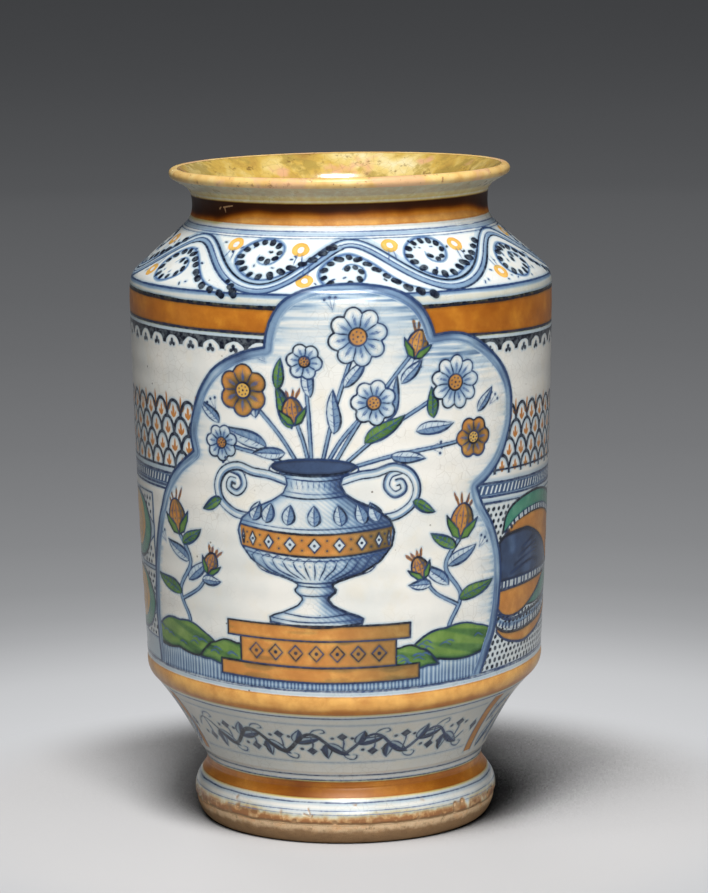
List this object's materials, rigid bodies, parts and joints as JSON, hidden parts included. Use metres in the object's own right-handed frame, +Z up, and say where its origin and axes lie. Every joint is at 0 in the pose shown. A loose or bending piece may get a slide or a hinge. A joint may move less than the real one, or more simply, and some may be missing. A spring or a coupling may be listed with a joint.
{
  "type": "albarello",
  "caption": "Waisted tin-glazed earthenware drug jar with a rolled lip, short concave neck, sloping shoulder, tall wall, bevel and turned foot.",
  "frame": {"origin": "middle of the resting face under the foot", "axes": "+Z up along the jar's axis of turning, -Y towards the painted front with the medallion, +X to the viewer's right"},
  "size_m": [0.1794, 0.1794, 0.28],
  "materials": {
    "bare_clay": "bare buff earthenware, worn and dry",
    "foot_glaze": "worn white tin glaze with blue lines and an orange band in the waist",
    "bevel_glaze": "grey-white tin glaze with a painted leaf band between blue lines",
    "wall_glaze": "glossy white tin glaze painted in blue, orange, yellow and green",
    "shoulder_glaze": "glossy white tin glaze painted with blue scrolls, dots and yellow rings",
    "neck_glaze": "glossy tin glaze with an orange band",
    "lip_glaze": "glossy yellow-ochre glaze, worn pinkish",
    "inner_glaze": "glossy mottled yellow, ochre and brown lead glaze"
  },
  "bodies": {
    "root": {"clay_body": "bare_clay", "foot_glaze": "foot_glaze", "bevel_glaze": "bevel_glaze", "wall_glaze": "wall_glaze", "shoulder_glaze": "shoulder_glaze", "neck_glaze": "neck_glaze", "lip_glaze": "lip_glaze", "inner_glaze": "inner_glaze"}
  },
  "joints": []
}
